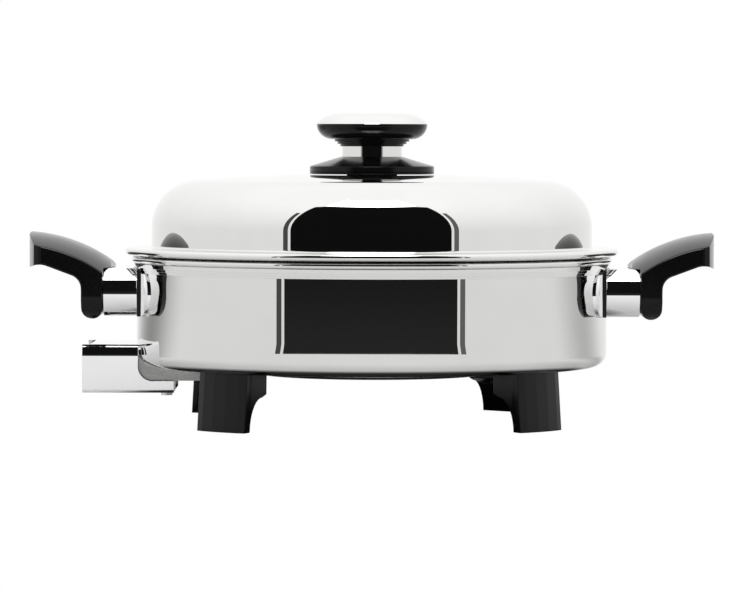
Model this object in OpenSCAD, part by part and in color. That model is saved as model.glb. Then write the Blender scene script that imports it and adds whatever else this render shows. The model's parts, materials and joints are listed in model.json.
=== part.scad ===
// Electric skillet with a liquid-filled double-wall pan, a high domed lid, side handles
// and a plug-in control inlet. Millimetres, +Z up, origin on the table under the centre.
// The handles lie along X, the inlet faces -X and the front is -Y.

/* [Pan] */
// Height of the pan's underside above the table
pan_lift = 36; // [30:0.5:50]
// Inside diameter of the cooking pan
cook_d = 277.2; // [230:0.1:340]
// Thickness of the cooking pan
cook_wall = 1.2; // [0.8:0.1:2]
// Depth of the cooking pan below its rim
cook_depth = 56.9; // [46:0.1:90]
// Radius inside the corner of the cooking pan
cook_fillet = 8; // [4:0.5:16]
// Radius of the turn from the pan's wall to its rim shelf
lip_fillet = 4; // [2.5:0.1:6]
// Width of the liquid space around the cooking pan
oil_side = 8; // [5:0.1:12]
// Height of the liquid space under the cooking pan
oil_under = 10.1; // [8.5:0.1:14]
// Thickness of the outer shell
shell_wall = 1.2; // [0.8:0.1:1.6]
// Radius of the rounded edge under the outer shell
shell_fillet = 8.5; // [5:0.5:12]
// Radius of the rolled bead on the pan's rim
bead_r = 2.2; // [1.8:0.1:3]
// Distance that the bead's centre stands outside the shell
bead_out = 1.4; // [0.8:0.1:2]
// Height of the stepped band under the bead
band_h = 5.9; // [4:0.1:9]
// Thickness that each step of the band adds
band_step = 0.5; // [0.3:0.1:0.8]

/* [Feet] */
// Angle between the front right foot and the +X axis
foot_turn = 41.5; // [36:0.5:50]
// Distance from the centre to the foot's outer face, at its top
foot_out = 139; // [105:0.5:170]
// Lean of the foot's outer face
foot_splay = 4.3; // [0:0.1:8]
// Width of the foot's shield
foot_w = 40; // [30:1:54]
// Width of the rib behind the shield
foot_rib_w = 24; // [20:1:28]
// Reach of the rib from the shield's face to its inner end
foot_reach = 27; // [24:0.5:34]
// Height of the rib's inner end above the table
foot_arch = 22.6; // [12:0.1:26]
// Thickness of the shield where it stands on the table
foot_toe = 7.6; // [5:0.1:10]
// Diameter of the studs that hold the feet
stud_d = 4; // [3:0.1:5]

/* [Handles] */
// Height of the ferrule's centre above the pan's underside
grip_rise = 47; // [38:0.5:60]
// Distance from the shell to the handle's inner face
grip_gap = 19; // [14:0.5:26]
// Width of the handle
grip_w = 96; // [84:1:120]
// Length of the handle from its inner face to its end
grip_len = 48.7; // [44:0.1:60]
// Thickness of the handle's leg
leg_t = 13; // [11:0.1:16]
// Radius of the handle's crown seen from the side
crown_r = 98.5; // [90:0.5:120]
// Radius of the handle's crown seen along it
cross_r = 157; // [130:1:220]
// Width of the ferrule
ferrule_w = 90; // [70:1:92]
// Height of the ferrule
ferrule_h = 30; // [24:0.5:32]
// Thickness of the ferrule's sheet
ferrule_wall = 1.2; // [0.8:0.1:2]
// Spacing of the two screws in a handle
grip_screw_pitch = 50; // [36:1:56]
// Diameter of the handle screws
grip_screw_d = 4; // [3:0.1:5]

/* [Inlet] */
// Height of the pins below the pan's underside
pin_drop = 3.5; // [3.3:0.1:4.5]
// Spacing of the two pins
pin_pitch = 30; // [28:0.5:34]
// Diameter of the pins
pin_d = 4.8; // [4:0.1:5.4]
// Length of the pins outside the terminal box
pin_len = 24.7; // [16:0.1:28]
// Outside diameter of the probe well
well_d = 7; // [6:0.1:7.5]
// Bore of the probe well
well_bore = 5.4; // [4:0.1:6]
// Depth of the probe well
well_len = 62; // [40:1:68]
// Width of the terminal box
box_w = 56; // [52:0.5:60]
// Depth of the terminal box under the pan
box_drop = 9; // [8.5:0.1:11]
// Thickness of the sheet in the box, the guard and the base cover
sheet = 1; // [0.6:0.1:1.2]
// Length of the guard outside the shell
guard_len = 32.9; // [28:0.1:42]
// Width of the guard
guard_w = 66; // [62:0.5:76]
// Height of the guard
guard_h = 30.4; // [28:0.1:34]
// Height of the guard's top above the pan's underside
guard_rise = 13.9; // [12:0.1:16]
// Length of the guard's tongue under the terminal box
tongue_len = 24.8; // [22:0.1:30]

/* [Heating] */
// Diameter of the heating element's sheath
element_d = 6.5; // [5.5:0.1:7.5]
// Diameter of the heating element's ring
element_ring_d = 200; // [160:1:220]
// Diameter of the cover under the pan
cover_d = 146; // [120:1:160]
// Depth of the cover under the pan
cover_drop = 5.7; // [5:0.1:7]
// Diameter of the filler plug's thread
plug_d = 10; // [8:0.5:12]

/* [Lid] */
// Distance that the lid's wall stands outside the cooking pan's inner face
lid_over = 1.1; // [0.8:0.1:2]
// Thickness of the lid
lid_wall = 0.9; // [0.6:0.1:1.2]
// Height of the lid's flange above the pan's rim
flange_rise = 5; // [4.6:0.1:7]
// Straight height of the lid's wall above the flange
lid_wall_h = 12.9; // [8:0.1:40]
// Radius of the lid's shoulder
shoulder_r = 30; // [18:0.5:45]
// Radius of the lid's crown
dome_r = 1400; // [600:10:2400]
// Distance from the lid's wall to the centre of its bead
lid_bead_out = 14.4; // [13:0.1:18]
// Depth of the lid's lip inside the pan
lip_drop = 7; // [4:0.1:10]
// Clearance between the lid's lip and the pan
lip_gap = 0.6; // [0.4:0.1:1]
// Clearance under the lid's seat on the rim
seat_gap = 0.2; // [0.1:0.05:0.3]
// Radius of the flat seat under the knob
knob_seat_r = 42; // [41:0.5:50]
// Depth of the knob's seat below the top of the dome
knob_seat_drop = 1.7; // [1:0.1:2.5]

/* [Knob] */
// Diameter of the knob's base
knob_base_d = 79; // [66:0.5:81]
// Gap between the lid and the knob's base
knob_gap = 1.1; // [0.8:0.1:2]
// Height of the rim of the knob's base
knob_rim_h = 4.8; // [3:0.1:8]
// Height of the whole knob base
knob_base_h = 11.1; // [9:0.1:16]
// Diameter of the chrome collar
collar_d = 38; // [34:0.5:44]
// Thickness of the chrome collar
collar_wall = 1.4; // [0.8:0.1:2]
// Travel of the knob's grip between vent open and vent closed
vent_travel = 6; // [4:0.1:7]
// Diameter of the knob's grip
knob_d = 70.6; // [62:0.1:80]
// Height of the knob's grip below its cap
knob_grip_h = 14.1; // [13:0.1:20]
// Height of the polished cap
cap_h = 6.8; // [5.5:0.1:9]
// Thickness of the polished cap
cap_wall = 1; // [0.6:0.1:1.5]
// Diameter of the vent stem
stem_d = 6; // [5:0.1:6.6]
// Running clearance around the vent stem
stem_gap = 0.08; // [0.03:0.01:0.1]
// Outside diameter of the knob's threaded bushing
bushing_d = 10; // [8.5:0.1:11]
// Diameter of the steam holes
steam_d = 3; // [2:0.1:3.4]

/* [Hidden] */
$fn = 96;
far = 400;
eps = 0.01;

// Pan radii and heights
cook_r = cook_d / 2;
shell_in_r = cook_r + cook_wall + oil_side;
shell_r = shell_in_r + shell_wall;
cook_floor_z = pan_lift + shell_wall + oil_under + cook_wall;
pan_under_z = cook_floor_z - cook_wall;
rim_z = cook_floor_z + cook_depth;
bead_z = rim_z - bead_r;
bead_ring_r = shell_r + bead_out;
band_top_z = bead_z - bead_r;

// Inlet places, along -X
box_end = shell_r - 1.7;
box_z = pan_lift - box_drop;
box_in = cover_d / 2 + 2;
box_corner = 7;
pin_z = pan_lift - pin_drop;
pin_tip = box_end + pin_len;
pin_chamfer = 1;
block_out = box_end - box_corner;
block_in = block_out - 8;
block_w = pin_pitch + pin_d + 4;
pin_neck_r = pin_d / 2 - 0.4;
pin_neck = 1;
wire_hole_r = pin_d / 2 + 2.6;
guard_top = pan_lift + guard_rise;
guard_z = guard_top - guard_h;
guard_out = shell_r + guard_len;
guard_edge = shell_r - 2.3;
tongue_end = shell_r - tongue_len;
guard_lip = 4.9;
guard_bend = 2;
notch_r = 9;
guard_screw_x = tongue_end + 4.8;
guard_screw_y = pin_pitch / 2 + element_d / 2 + 3.6;
guard_screw_r = 1.8;

// Heating element places
element_r = element_d / 2;
element_ring_r = element_ring_d / 2;
element_z = pan_under_z - element_r;
element_drop_x = element_ring_r + 12;
bush_r = element_r + 2;
bush_flange = 1.4;
clip_wall = 1;
clip_angle = 5;
plug_head_r = 8;
plug_well_r = 14;
plug_well_h = 3;

// Feet
stud_u = foot_out - foot_reach + 9;
stud_r = stud_d / 2;
nut_h = 3.2;
nut_r = stud_d;
foot_hole_z = pan_lift - 9;
foot_hole_r = nut_r + 0.8;
foot_angles = [for (i = [0:3]) 90 * i - foot_turn];

// Handles, with u outward from the shell and z from the ferrule's centre
grip_x = shell_r + grip_gap;
grip_z = pan_lift + grip_rise;
leg_round = leg_t / 2;
leg_low = ferrule_h / 2 + 1.6 - leg_round;
wing_under = ferrule_h / 2 + 2;
crown_x = grip_len + 5.7;
crown_z = ferrule_h / 2 - 76;
bracket_face = shell_r - 2.2;
bracket_wall = 2;
flare_w = 13;
boss_r = grip_screw_d / 2 + 2.6;
boss_end = grip_x - 6;
screw_head_r = grip_screw_d;
screw_head_h = 2.6;
head_gap = 0.6;

// Lid
lid_r = cook_r + lid_over;
flange_z = rim_z + flange_rise;
shoulder_z = flange_z + lid_wall_h;
dome_z = shoulder_z - sqrt(pow(dome_r - shoulder_r, 2) - pow(lid_r - shoulder_r, 2));
dome_top = dome_z + dome_r;
shoulder_end = 90 - asin((lid_r - shoulder_r) / (dome_r - shoulder_r));
seat_z = dome_top - knob_seat_drop;
seat_blend = 12;
flange_fillet = 1.6;
lid_bead_r = lid_r + lid_bead_out;
ring_top = flange_z + 5;
lip_r = cook_r - lip_gap;

// Knob
base_z = seat_z + knob_gap;
base_top = base_z + knob_base_h;
base_r = knob_base_d / 2;
collar_r = collar_d / 2;
collar_seat = 1.5;
grip_bottom = base_top + vent_travel + 0.5;
grip_top = grip_bottom + knob_grip_h;
grip_hole_r = collar_r + 0.3;
collar_top = grip_bottom + 4;
grip_roof = collar_top + vent_travel + 0.5;
knob_r = knob_d / 2;
gasket_in = bushing_d / 2 + steam_d + 5.4;
gasket_out = gasket_in + 2.6;
steam_ring_r = gasket_in - steam_d / 2 - 0.4;
stem_r = stem_d / 2;
stem_low = seat_z - lid_wall - 12;
bushing_low = stem_low + vent_travel + 2.4;
bushing_top = base_top - 1;
knob_nut_h = 3.4;
knob_nut_r = bushing_d / 2 + 3.4;
disc_h = 2;
disc_z = base_top + vent_travel + 0.3;
disc_r = steam_ring_r + steam_d / 2 + 1;
stem_nut_h = 2.4;

// Points along an arc, for outlines
function arc(cx, cy, r, from, to, steps = 12) =
    [for (i = [0:steps]) let (a = from + (to - from) * i / steps) [cx + r * cos(a), cy + r * sin(a)]];

// The rolled bead at the end of a sheet, from the sheet's top round to its underside
function bead(cx, cy, wall) = arc(cx, cy, bead_r, 90, -180 - asin((bead_r - wall) / bead_r), 24);

// Height of the lid's crown at a radius, with the sheet's underside at a depth below it
function dome_at(r, depth) = dome_z + sqrt(pow(dome_r - depth, 2) - r * r);
function crown_at(r, depth) =
    let (t = min(max((r - knob_seat_r) / seat_blend, 0), 1), s = (1 - cos(180 * t)) / 2)
    (seat_z - depth) * (1 - s) + dome_at(r, depth) * s;

// One face of the lid's sheet, from its centre down to the flange
function lid_face(depth) = concat(
    [for (r = [0, knob_seat_r]) [r, crown_at(r, depth)]],
    [for (i = [1:8]) let (r = knob_seat_r + seat_blend * i / 8) [r, crown_at(r, depth)]],
    [for (i = [1:6])
        let (from = knob_seat_r + seat_blend,
             to = lid_r - shoulder_r + (shoulder_r - depth) * cos(shoulder_end),
             r = from + (to - from) * i / 6)
        [r, dome_at(r, depth)]],
    arc(lid_r - shoulder_r, shoulder_z, shoulder_r - depth, shoulder_end, 0, 16));

// A bar along X with rounded long edges, standing from x = 0
module round_bar(length, width, height, radius) {
    rotate([90, 0, 90])
        linear_extrude(length)
            union() {
                square([width - 2 * radius, height], center = true);
                square([width, height - 2 * radius], center = true);
                for (sy = [-1, 1], sz = [-1, 1])
                    translate([sy * (width / 2 - radius), sz * (height / 2 - radius)])
                        circle(radius);
            }
}

// A cylinder along -X between two distances from the centre
module rod_x(from, to, radius, z, y = 0) {
    translate([-from, y, z])
        rotate([0, -90, 0])
            cylinder(h = to - from, r = radius);
}

module ring(inner, outer, height) {
    difference() {
        cylinder(h = height, r = outer);
        translate([0, 0, -1])
            cylinder(h = height + 2, r = inner);
    }
}

// The space that the outer shell fills, for parts that fit against it
module shell_envelope() {
    rotate_extrude()
        polygon(concat(
            [[0, pan_lift]],
            arc(shell_r - shell_fillet, pan_lift + shell_fillet, shell_fillet, -90, 0),
            [[shell_r, rim_z], [0, rim_z]]));
}

module at_pins() {
    for (side = [-1, 1])
        translate([0, side * pin_pitch / 2, 0])
            children();
}

// ---- Pan ----

module inner_pan() {
    color("gainsboro")
    difference() {
        rotate_extrude()
            polygon(concat(
                [[0, cook_floor_z]],
                arc(cook_r - cook_fillet, cook_floor_z + cook_fillet, cook_fillet, -90, 0),
                arc(cook_r + lip_fillet, rim_z - lip_fillet, lip_fillet, 180, 90),
                bead(bead_ring_r, bead_z, cook_wall),
                arc(cook_r + lip_fillet, rim_z - lip_fillet, lip_fillet - cook_wall, 90, 180),
                arc(cook_r - cook_fillet, cook_floor_z + cook_fillet, cook_fillet + cook_wall, 0, -90),
                [[0, pan_under_z]]));
        translate([0, 0, bead_z - 2 * bead_r])
            ring(shell_in_r, shell_r, 2 * bead_r);
    }
}

module outer_shell() {
    inner_fillet = shell_fillet - shell_wall;
    color("silver")
    difference() {
        rotate_extrude()
            polygon(concat(
                [[0, pan_lift]],
                arc(shell_r - shell_fillet, pan_lift + shell_fillet, shell_fillet, -90, 0),
                [[shell_r, bead_z], [shell_in_r, bead_z]],
                arc(shell_r - shell_fillet, pan_lift + shell_fillet, inner_fillet, 0, -90),
                [[0, pan_lift + shell_wall]]));
        translate([0, 0, pan_lift - 1])
            cylinder(h = shell_wall + 2, r = plug_d / 2);
        at_pins()
            translate([-element_drop_x, 0, pan_lift - 1])
                cylinder(h = shell_wall + 2, r = bush_r);
    }
}

module rim_band() {
    step_h = band_h / 3.6;
    band_low = band_top_z - band_h;
    color("silver")
    rotate_extrude()
        polygon([
            [shell_r, band_low],
            [shell_r + 1.2, band_low],
            [shell_r + 1.2, band_low + step_h],
            [shell_r + 1.2 + band_step, band_low + step_h],
            [shell_r + 1.2 + band_step, band_low + 2 * step_h],
            [shell_r + 1.2 + 2 * band_step, band_low + 2 * step_h],
            [shell_r + 1.2 + 2 * band_step, band_top_z],
            [shell_r, band_top_z]
        ]);
}

// ---- Heating ----

module heating_element() {
    end_angle = asin(pin_pitch / 2 / element_ring_r);
    ring_end = element_ring_r * cos(end_angle);
    color("dimgray")
    union() {
        rotate([0, 0, -180 + end_angle])
            rotate_extrude(angle = 360 - 2 * end_angle)
                translate([element_ring_r, element_z])
                    circle(element_r);
        at_pins() {
            rod_x(ring_end, element_drop_x, element_r, element_z);
            rod_x(element_drop_x, block_in, element_r, pin_z);
            translate([-element_drop_x, 0, pin_z])
                cylinder(h = element_z - pin_z, r = element_r);
            for (z = [pin_z, element_z])
                translate([-element_drop_x, 0, z])
                    sphere(element_r);
            translate([-ring_end, 0, element_z])
                sphere(element_r);
        }
    }
}

module element_clips() {
    clip_r = element_r + clip_wall;
    color("silver")
    for (a = [-120, 0, 120])
        rotate([0, 0, a - clip_angle / 2])
            rotate_extrude(angle = clip_angle)
                difference() {
                    union() {
                        translate([element_ring_r, element_z])
                            circle(clip_r);
                        translate([element_ring_r - clip_r, element_z])
                            square([2 * clip_r, element_r]);
                    }
                    translate([element_ring_r, element_z])
                        circle(element_r);
                    translate([element_ring_r - element_r, element_z])
                        square([2 * element_r, clip_r]);
                    translate([0, pan_under_z])
                        square(far);
                }
}

module seal_bushes() {
    color("goldenrod")
    at_pins()
        translate([-element_drop_x, 0, pan_lift])
            difference() {
                union() {
                    cylinder(h = shell_wall, r = bush_r);
                    translate([0, 0, shell_wall])
                        cylinder(h = bush_flange, r = bush_r + 1.5);
                }
                translate([0, 0, -1])
                    cylinder(h = shell_wall + bush_flange + 2, r = element_r);
            }
}

// ---- Inlet ----

module terminal_box() {
    rise = shell_fillet - 1.5;
    length = box_end - box_in;
    color("lightgray")
    difference() {
        translate([-box_end, box_w / 2, box_z])
            rotate([90, 0, 0])
                linear_extrude(box_w)
                    union() {
                        translate([box_corner, 0])
                            square([length - box_corner, box_drop + rise]);
                        translate([0, box_corner])
                            square([box_corner, box_drop + rise - box_corner]);
                        translate([box_corner, box_corner])
                            circle(box_corner);
                    }
        translate([-box_end + sheet, box_w / 2 - sheet, box_z + sheet])
            rotate([90, 0, 0])
                linear_extrude(box_w - 2 * sheet)
                    union() {
                        translate([box_corner - sheet, 0])
                            square([length + 1, box_drop + rise]);
                        translate([0, box_corner - sheet])
                            square([box_corner, far]);
                        translate([box_corner - sheet, box_corner - sheet])
                            circle(box_corner - sheet);
                    }
        shell_envelope();
        translate([-box_in - 12, -far / 2, pan_lift])
            cube(far);
        at_pins()
            rod_x(block_out, box_end + 1, wire_hole_r, pin_z);
        rod_x(block_out, box_end + 1, well_d / 2, pin_z);
        for (side = [-1, 1])
            translate([-guard_screw_x, side * guard_screw_y, box_z - 1])
                cylinder(h = sheet + 2, r = guard_screw_r);
    }
}

module terminal_block() {
    block_h = box_drop - sheet - 0.2;
    color("whitesmoke")
    difference() {
        translate([-block_out, -block_w / 2, box_z + sheet])
            cube([block_out - block_in, block_w, block_h]);
        at_pins()
            rod_x(block_in - 1, block_out + 1, pin_neck_r, pin_z);
        rod_x(block_in - 1, block_out + 1, well_d / 2, pin_z);
    }
}

module terminal_pins() {
    color("silver")
    at_pins() {
        rod_x(block_in, block_out + pin_neck, pin_neck_r, pin_z);
        rod_x(block_out + pin_neck, pin_tip - pin_chamfer, pin_d / 2, pin_z);
        translate([-(pin_tip - pin_chamfer), 0, pin_z])
            rotate([0, -90, 0])
                cylinder(h = pin_chamfer, r1 = pin_d / 2, r2 = pin_d / 2 - pin_chamfer);
    }
}

module probe_well() {
    well_end = box_end - well_len;
    relief = 1;
    color("silver")
    difference() {
        rod_x(well_end, box_end + sheet, well_d / 2, pin_z);
        rod_x(well_end + 1 + relief, box_end + sheet + 1, well_bore / 2, pin_z);
        rod_x(well_end + 1, well_end + 1 + relief, well_bore / 2 + 0.3, pin_z);
    }
}

module guard_outline() {
    difference() {
        translate([tongue_end, guard_z])
            square([guard_out - tongue_end, guard_h]);
        difference() {
            translate([tongue_end - 1, box_z])
                square([guard_edge - tongue_end + 1, far]);
            translate([guard_edge - notch_r, box_z])
                difference() {
                    square(notch_r);
                    translate([0, notch_r])
                        circle(notch_r);
                }
        }
    }
}

module probe_guard() {
    plate_back = shell_r - 12;
    color("silver")
    difference() {
        union() {
            intersection() {
                guard_tube(tongue_end, guard_out);
                translate([0, guard_w / 2 + 1, 0])
                    rotate([90, 0, 0])
                        mirror([1, 0, 0])
                            linear_extrude(guard_w + 2)
                                guard_outline();
            }
            translate([-guard_edge - 2, -guard_w / 2 + guard_bend, guard_top - sheet])
                cube([guard_edge + 2 - plate_back, guard_w - 2 * guard_bend, sheet]);
        }
        shell_envelope();
        translate([-guard_out - 1, -guard_w / 2 + guard_bend + 1, guard_top - 2 * sheet])
            cube([guard_lip + 1, guard_w - 2 * guard_bend - 2, 4 * sheet]);
        for (side = [-1, 1])
            translate([-guard_screw_x, side * guard_screw_y, guard_z - 1])
                cylinder(h = sheet + 2, r = guard_screw_r);
    }
}

module guard_tube(from, to) {
    middle = guard_top - guard_h / 2;
    translate([-to, 0, middle])
        difference() {
            round_bar(to - from, guard_w, guard_h, guard_bend);
            translate([-1, 0, 0])
                round_bar(to - from + 2, guard_w - 2 * sheet, guard_h - 2 * sheet, guard_bend - sheet);
        }
}

module guard_spacers() {
    color("silver")
    for (side = [-1, 1])
        translate([-guard_screw_x, side * guard_screw_y, guard_z + sheet])
            ring(guard_screw_r, guard_screw_r + 1.6, box_z - guard_z - sheet);
}

module guard_screws() {
    color("silver")
    for (side = [-1, 1])
        translate([-guard_screw_x, side * guard_screw_y, guard_z]) {
            cylinder(h = box_z + sheet + 1.5 - guard_z, r = guard_screw_r);
            translate([0, 0, -1.8])
                cylinder(h = 1.8, r = 2 * guard_screw_r);
        }
}

// ---- Base ----

module base_cover() {
    cover_r = cover_d / 2;
    cover_z = pan_lift - cover_drop;
    corner = 2;
    color("gainsboro")
    rotate_extrude()
        polygon(concat(
            [[plug_head_r + 2, cover_z + plug_well_h]],
            [[plug_well_r - 2, cover_z + plug_well_h]],
            [[plug_well_r, cover_z]],
            arc(cover_r - corner, cover_z + corner, corner, -90, 0, 6),
            [[cover_r, pan_lift], [cover_r - sheet, pan_lift]],
            arc(cover_r - corner, cover_z + corner, corner - sheet, 0, -90, 6),
            [[plug_well_r + 0.6, cover_z + sheet]],
            [[plug_well_r - 1.4, cover_z + plug_well_h + sheet]],
            [[plug_head_r + 2, cover_z + plug_well_h + sheet]]));
}

module oil_plug() {
    head_h = cover_drop - 1.8;
    color("silver")
    translate([0, 0, pan_lift - 1])
        union() {
            cylinder(h = shell_wall + 5, r = plug_d / 2);
            translate([0, 0, -head_h + 1])
                cylinder(h = head_h - 1, r = plug_head_r, $fn = 6);
        }
}

module plug_gasket() {
    color("dimgray")
    translate([0, 0, pan_lift - 1])
        ring(plug_d / 2, plug_head_r, 1);
}

// ---- Feet ----

// Side outline of a foot, u inward from its face and z up
module foot_side() {
    toe = foot_toe;
    rib = foot_reach;
    polygon(concat(
        [[-6, 0], [toe, 0]],
        [for (i = [1:9]) let (a = 10 * i)
            [rib - 5 + (toe + 5 - rib) * cos(a), foot_arch * 0.92 * sin(a)]],
        [[rib, foot_arch], [rib, pan_lift], [-6, pan_lift]]));
}

// Plan outline of a foot, with its faceted shield at u = 0
module foot_plan() {
    half = foot_w / 2;
    rib = foot_rib_w / 2;
    face = [[half, 2.5], [half * 0.725, 1], [half * 0.25, 0]];
    back = [[half - 0.8, 5.5], [half - 2.5, foot_toe + 2], [rib, foot_reach + 6]];
    right = concat(face, [for (i = [0:2]) back[i]]);
    polygon(concat(
        [for (i = [0:2]) [-face[2 - i][1], face[2 - i][0]]],
        [for (p = back) [-p[1], p[0]]],
        [for (i = [0:2]) [-back[2 - i][1], -back[2 - i][0]]],
        [for (p = face) [-p[1], -p[0]]]));
}

module foot(angle) {
    color([0.08, 0.08, 0.08])
    rotate([0, 0, angle])
        difference() {
            intersection() {
                translate([foot_out, 0, pan_lift])
                    rotate([0, -foot_splay, 0])
                        translate([0, 0, -pan_lift - 8])
                            linear_extrude(pan_lift + 16)
                                foot_plan();
                translate([foot_out, foot_w, 0])
                    rotate([90, 0, 0])
                        mirror([1, 0, 0])
                            linear_extrude(2 * foot_w)
                                foot_side();
            }
            translate([stud_u, 0, 0])
                cylinder(h = foot_hole_z, r = foot_hole_r);
            translate([stud_u, 0, foot_hole_z - 1])
                cylinder(h = pan_lift, r = stud_r);
        }
}

module foot_front_right() { foot(foot_angles[0]); }
module foot_rear_right() { foot(foot_angles[1]); }
module foot_rear_left() { foot(foot_angles[2]); }
module foot_front_left() { foot(foot_angles[3]); }

module foot_studs() {
    color("silver")
    for (a = foot_angles)
        rotate([0, 0, a])
            translate([stud_u, 0, foot_hole_z - nut_h - 0.8])
                cylinder(h = pan_lift - foot_hole_z + nut_h + 0.8, r = stud_r);
}

module foot_nuts() {
    color("silver")
    for (a = foot_angles)
        rotate([0, 0, a])
            translate([stud_u, 0, foot_hole_z - nut_h])
                difference() {
                    cylinder(h = nut_h, r = nut_r, $fn = 6);
                    translate([0, 0, -1])
                        cylinder(h = nut_h + 2, r = stud_r);
                }
}

// ---- Handles ----

module on_side(side) {
    rotate([0, 0, side > 0 ? 0 : 180])
        translate([0, 0, grip_z])
            children();
}

module at_grip_screws() {
    for (y = [-1, 1])
        translate([0, y * grip_screw_pitch / 2, 0])
            children();
}

// Side outline of a handle, x outward from its inner face
module grip_side() {
    overhang = 4;
    top = ferrule_h / 2 + 40;
    seat = ferrule_h / 2 + 0.2;
    crook = 8.8;
    tip = grip_len - 1.2;
    polygon(concat(
        arc(leg_round + 0.5, -leg_low, leg_round, 180, 360, 12),
        arc(leg_t + 0.7 + crook, wing_under - 14.5, crook, 180, 112, 8),
        arc(tip - 7.7, wing_under - 13.6, 14, 106, 57, 6),
        arc(grip_len - 60, wing_under + 9, 60, -10, 10, 6),
        [[grip_len - 2, top], [12, top], [-overhang, seat + 1], [-overhang, seat], [0, seat]]));
}

module grip_plan() {
    corner = 9;
    bow = 190;
    intersection() {
        union() {
            translate([-10, -grip_w / 2])
                square([grip_len + 10 - corner, grip_w]);
            translate([grip_len - corner - 8, -grip_w / 2 + corner])
                square([corner + 9, grip_w - 2 * corner]);
            for (y = [-1, 1])
                translate([grip_len - corner - 2.2, y * (grip_w / 2 - corner)])
                    circle(corner);
        }
        translate([grip_len - bow, 0])
            circle(bow);
    }
}

// The domed block that the handle's top is cut from
module grip_crown() {
    translate([crown_x, 0, crown_z])
        rotate([90, 0, 0])
            rotate_extrude()
                polygon(concat(
                    [[0, -grip_w / 2 - 1]],
                    [for (i = [-16:16])
                        let (y = i * (grip_w / 2 + 1) / 16)
                        [crown_r - cross_r + sqrt(cross_r * cross_r - y * y), y]],
                    [[0, grip_w / 2 + 1]]));
}

module handle(side) {
    corner = ferrule_h / 2 + 1;
    color([0.08, 0.08, 0.08])
    on_side(side)
        translate([grip_x, 0, 0])
            difference() {
                intersection() {
                    translate([0, grip_w / 2, 0])
                        rotate([90, 0, 0])
                            linear_extrude(grip_w)
                                grip_side();
                    translate([0, 0, -far / 2])
                        linear_extrude(far)
                            grip_plan();
                    translate([-20, 0, far / 2 - leg_low - leg_round - 1])
                        round_bar(grip_len + 40, grip_w, far, corner);
                    grip_crown();
                }
                at_grip_screws() {
                    translate([-1, 0, 0])
                        rotate([0, 90, 0])
                            cylinder(h = leg_t + 2, r = grip_screw_d / 2);
                    translate([leg_t + 0.5 - screw_head_h - 1, 0, 0])
                        rotate([0, 90, 0])
                            cylinder(h = 12, r = screw_head_r + head_gap);
                }
            }
}

module handle_left() { handle(-1); }
module handle_right() { handle(1); }

module ferrule(side) {
    length = grip_x - bracket_face;
    inner_h = ferrule_h - 2 * ferrule_wall;
    color("silver")
    on_side(side)
        translate([bracket_face, 0, 0])
            difference() {
                round_bar(length, ferrule_w, ferrule_h, ferrule_h / 2 - 0.5);
                translate([-1, 0, 0])
                    round_bar(length + 2, ferrule_w - 2 * ferrule_wall, inner_h, inner_h / 2 - 0.5);
                translate([0, 0, -far / 2])
                    translate([-bracket_face, 0, 0])
                        cylinder(h = far, r = shell_r + bracket_wall);
            }
}

module ferrule_left() { ferrule(-1); }
module ferrule_right() { ferrule(1); }

// The saddle that hugs the shell and flares into the ferrule
module bracket(side) {
    half = ferrule_w / 2;
    foot_y = half + flare_w;
    color("silver")
    on_side(side)
        difference() {
            union() {
                intersection() {
                    translate([0, 0, -ferrule_h / 2])
                        ring(shell_r, shell_r + bracket_wall, ferrule_h);
                    round_bar(far, 2 * foot_y, ferrule_h, ferrule_h / 2 - 0.5);
                }
                intersection() {
                    translate([0, 0, -ferrule_h / 2])
                        linear_extrude(ferrule_h)
                            difference() {
                                translate([0, -foot_y])
                                    square([bracket_face, 2 * foot_y]);
                                circle(shell_r);
                                for (y = [-1, 1])
                                    translate([bracket_face, y * foot_y])
                                        circle(flare_w);
                            }
                    round_bar(far, 2 * foot_y, ferrule_h, ferrule_h / 2 - 0.5);
                }
                at_grip_screws()
                    rotate([0, 90, 0])
                        cylinder(h = boss_end, r = boss_r);
            }
            translate([0, 0, -far / 2])
                cylinder(h = far, r = shell_r);
            translate([0, 0, band_top_z - band_h - grip_z - 0.2])
                cylinder(h = far, r = shell_r + 1.4 + 2 * band_step);
            at_grip_screws()
                translate([boss_end - 8, 0, 0])
                    rotate([0, 90, 0])
                        cylinder(h = 9, r = grip_screw_d / 2);
        }
}

module bracket_left() { bracket(-1); }
module bracket_right() { bracket(1); }

module handle_screws() {
    head = grip_x + leg_t + 0.5 - screw_head_h - 1;
    tip = boss_end - 7;
    color("silver")
    for (side = [-1, 1])
        on_side(side)
            at_grip_screws()
                rotate([0, 90, 0])
                    union() {
                        translate([0, 0, tip])
                            cylinder(h = head - tip + eps, r = grip_screw_d / 2);
                        translate([0, 0, head])
                            cylinder(h = screw_head_h, r = screw_head_r);
                    }
}

// ---- Lid ----

module lid_shell() {
    outer = lid_face(0);
    inner = lid_face(lid_wall);
    fillet_r = lid_r + flange_fillet;
    color("gainsboro")
    difference() {
        rotate_extrude()
            polygon(concat(
                outer,
                arc(fillet_r, flange_z + flange_fillet, flange_fillet, 180, 270, 6),
                bead(lid_bead_r, flange_z - bead_r, lid_wall),
                [[lid_r - lid_wall, flange_z - lid_wall]],
                [for (i = [len(inner) - 1:-1:0]) inner[i]]));
        translate([0, 0, seat_z - 5])
            cylinder(h = 10, r = bushing_d / 2);
        steam_holes(seat_z - 5);
    }
}

module steam_holes(z) {
    for (a = [45:90:359])
        rotate([0, 0, a])
            translate([steam_ring_r, 0, z])
                cylinder(h = 30, r = steam_d / 2);
}

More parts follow.
